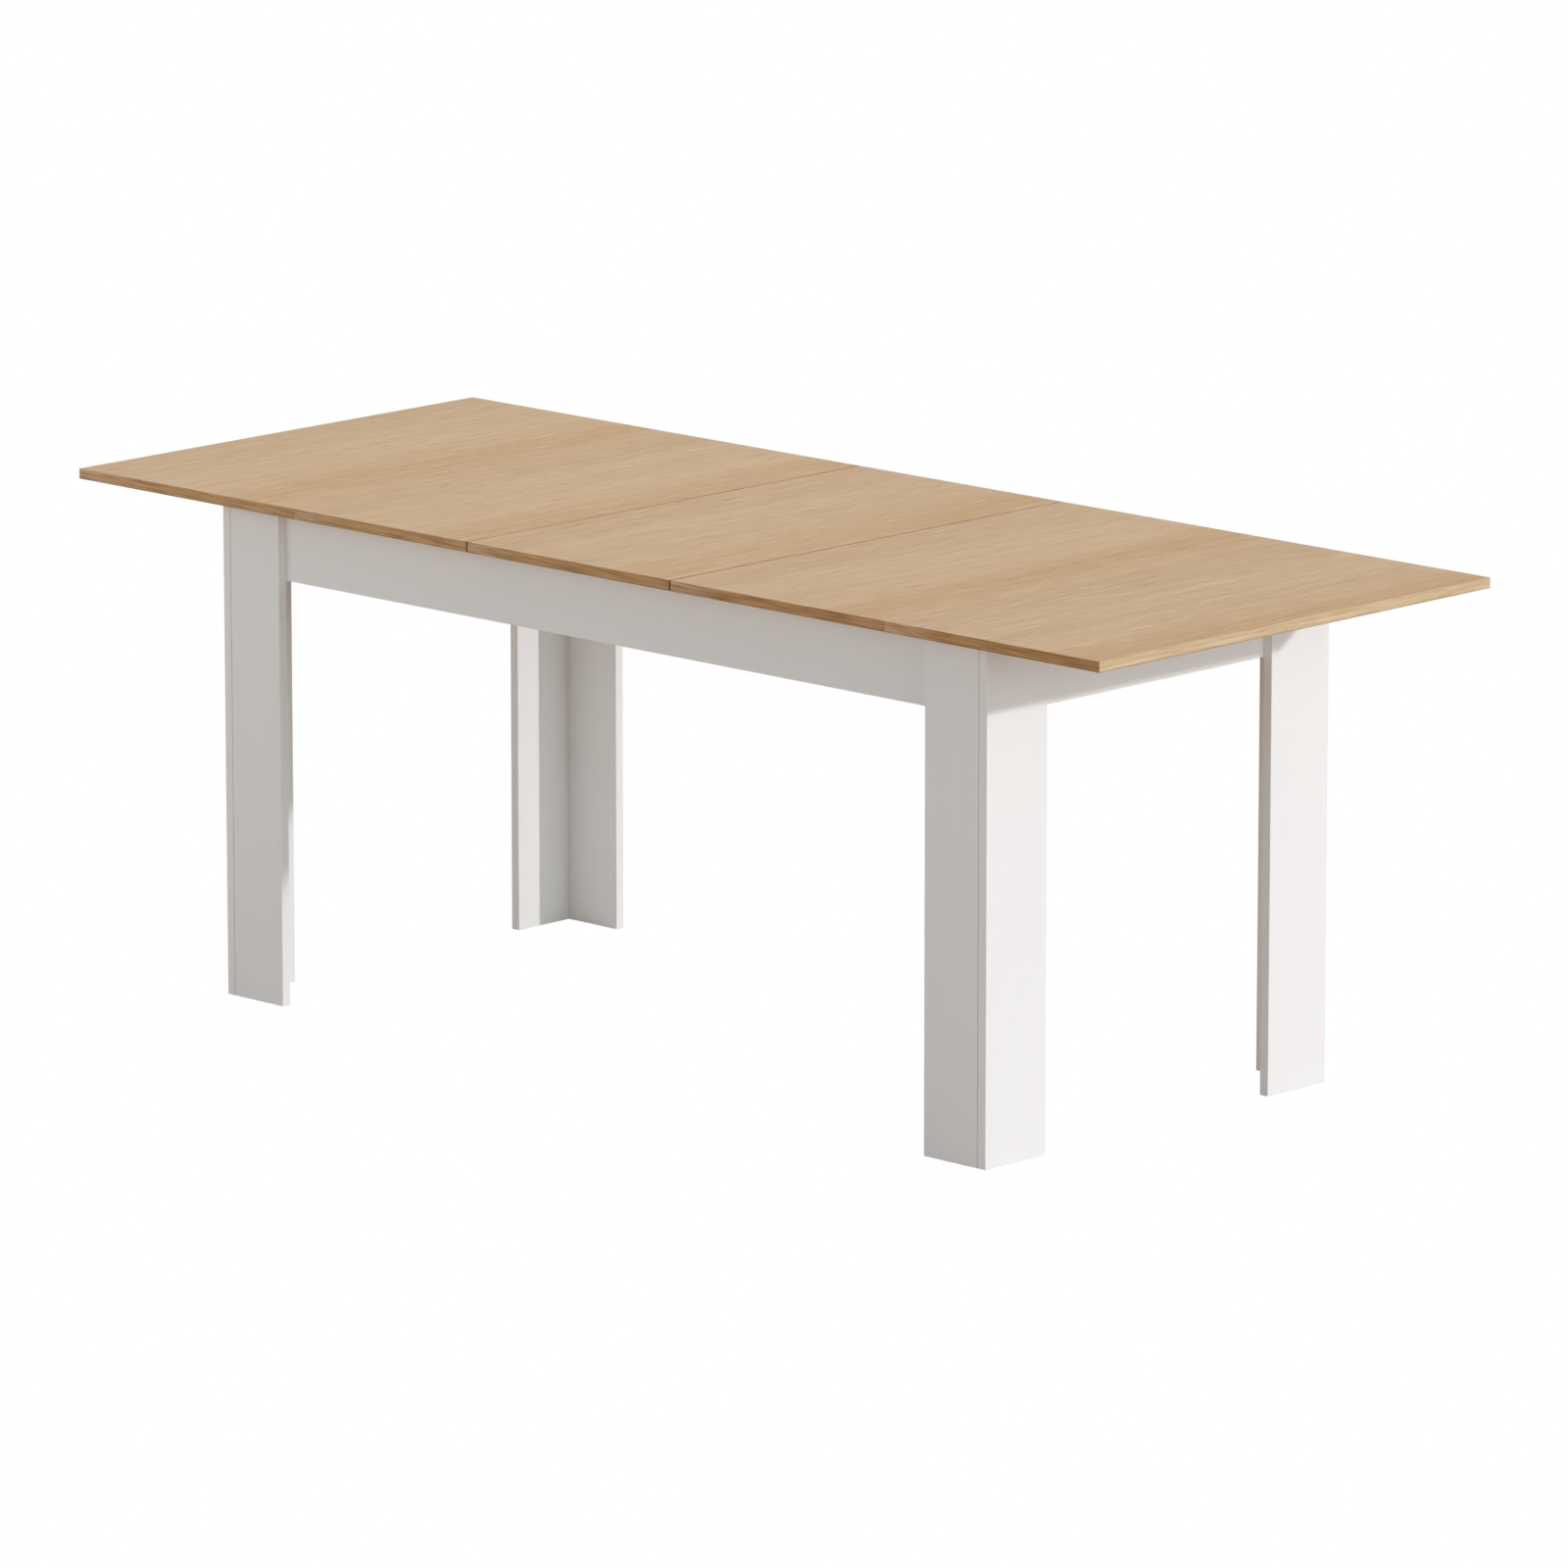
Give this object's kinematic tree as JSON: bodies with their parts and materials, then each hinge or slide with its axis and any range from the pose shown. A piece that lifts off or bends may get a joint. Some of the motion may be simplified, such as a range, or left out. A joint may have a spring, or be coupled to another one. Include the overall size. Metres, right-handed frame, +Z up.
{
  "type": "extending dining table",
  "caption": "Rectangular extending dining table with a drop-in centre leaf, light oak laminate top and white panel legs on sliding runners.",
  "frame": {"origin": "on the floor under the middle of the top", "axes": "+X along the table's length, towards the right-hand half top; +Y across the table, towards the back; +Z up"},
  "size_m": [2, 0.8, 0.75],
  "materials": {
    "oak_board": "light oak laminate on board, satin, grain across the table",
    "oak_band": "light oak plastic edge band, satin, grain along the edge",
    "white_board": "white melamine on board, matt",
    "beech": "plain beech, sanded",
    "runner_steel": "zinc-plated rolled steel",
    "zinc_steel": "zinc-plated steel, satin",
    "felt": "white self-adhesive felt",
    "rubber": "black moulded rubber, matt"
  },
  "bodies": {
    "frame": {"leg_end_board_front_left": "white_board", "leg_side_board_front_left": "white_board", "corner_bracket_front_left": "zinc_steel", "runner_fixed_front_left": "runner_steel", "leg_end_board_front_right": "white_board", "leg_side_board_front_right": "white_board", "corner_bracket_front_right": "zinc_steel", "runner_fixed_front_right": "runner_steel", "leg_end_board_back_left": "white_board", "leg_side_board_back_left": "white_board", "corner_bracket_back_left": "zinc_steel", "runner_fixed_back_left": "runner_steel", "leg_end_board_back_right": "white_board", "leg_side_board_back_right": "white_board", "corner_bracket_back_right": "zinc_steel", "runner_fixed_back_right": "runner_steel", "apron_front": "white_board", "apron_back": "white_board", "apron_left": "white_board", "apron_right": "white_board", "cross_rail": "white_board", "leg_bolts": "zinc_steel", "leg_inserts": "zinc_steel", "leg_dowels": "beech", "rail_cams": "zinc_steel", "rail_cam_bolts": "zinc_steel", "runner_screws": "zinc_steel", "felt_pads": "felt", "stop_buffers": "rubber"},
    "half_top_left": {"top_panel_left": "oak_board", "edge_bands_left": "oak_band", "carrier_angle_front_left": "zinc_steel", "runner_inner_front_left": "runner_steel", "carrier_angle_back_left": "zinc_steel", "runner_inner_back_left": "runner_steel", "runner_rivets_left": "zinc_steel", "leaf_plates_left": "zinc_steel", "underside_screws_left": "zinc_steel"},
    "middle_runners_left": {"runner_middle_front_left": "runner_steel", "runner_middle_back_left": "runner_steel"},
    "outer_cages_left": {"ball_cages_outer_left": "runner_steel"},
    "inner_cages_left": {"ball_cages_inner_left": "runner_steel"},
    "half_top_right": {"top_panel_right": "oak_board", "edge_bands_right": "oak_band", "carrier_angle_front_right": "zinc_steel", "runner_inner_front_right": "runner_steel", "carrier_angle_back_right": "zinc_steel", "runner_inner_back_right": "runner_steel", "runner_rivets_right": "zinc_steel", "leaf_plates_right": "zinc_steel", "underside_screws_right": "zinc_steel"},
    "middle_runners_right": {"runner_middle_front_right": "runner_steel", "runner_middle_back_right": "runner_steel"},
    "outer_cages_right": {"ball_cages_outer_right": "runner_steel"},
    "inner_cages_right": {"ball_cages_inner_right": "runner_steel"},
    "leaf": {"leaf_panel": "oak_board", "edge_bands_leaf": "oak_band", "leaf_batten_left": "beech", "leaf_batten_right": "beech", "leaf_screws": "zinc_steel"}
  },
  "joints": [
    {"name": "slide_half_top_left", "type": "slide", "parent": "frame", "child": "half_top_left", "axis": [-1, 0, 0], "range_m": [0, 0.03]},
    {"name": "slide_middle_runners_left", "type": "slide", "parent": "frame", "child": "middle_runners_left", "axis": [-1, 0, 0], "range_m": [0, 0.015]},
    {"name": "slide_outer_cages_left", "type": "slide", "parent": "frame", "child": "outer_cages_left", "axis": [-1, 0, 0], "range_m": [0, 0.0075]},
    {"name": "slide_inner_cages_left", "type": "slide", "parent": "frame", "child": "inner_cages_left", "axis": [-1, 0, 0], "range_m": [0, 0.0225]},
    {"name": "slide_half_top_right", "type": "slide", "parent": "frame", "child": "half_top_right", "axis": [1, 0, 0], "range_m": [0, 0.03]},
    {"name": "slide_middle_runners_right", "type": "slide", "parent": "frame", "child": "middle_runners_right", "axis": [1, 0, 0], "range_m": [0, 0.015]},
    {"name": "slide_outer_cages_right", "type": "slide", "parent": "frame", "child": "outer_cages_right", "axis": [1, 0, 0], "range_m": [0, 0.0075]},
    {"name": "slide_inner_cages_right", "type": "slide", "parent": "frame", "child": "inner_cages_right", "axis": [1, 0, 0], "range_m": [0, 0.0225]},
    {"name": "lift_leaf", "type": "slide", "parent": "frame", "child": "leaf", "axis": [0, 0, 1], "range_m": [0, 0.25]}
  ],
  "couplings": [
    {"joint": "slide_middle_runners_left", "follows": "slide_half_top_left", "ratio": 0.5},
    {"joint": "slide_outer_cages_left", "follows": "slide_half_top_left", "ratio": 0.25},
    {"joint": "slide_inner_cages_left", "follows": "slide_half_top_left", "ratio": 0.75},
    {"joint": "slide_middle_runners_right", "follows": "slide_half_top_right", "ratio": 0.5},
    {"joint": "slide_outer_cages_right", "follows": "slide_half_top_right", "ratio": 0.25},
    {"joint": "slide_inner_cages_right", "follows": "slide_half_top_right", "ratio": 0.75}
  ]
}
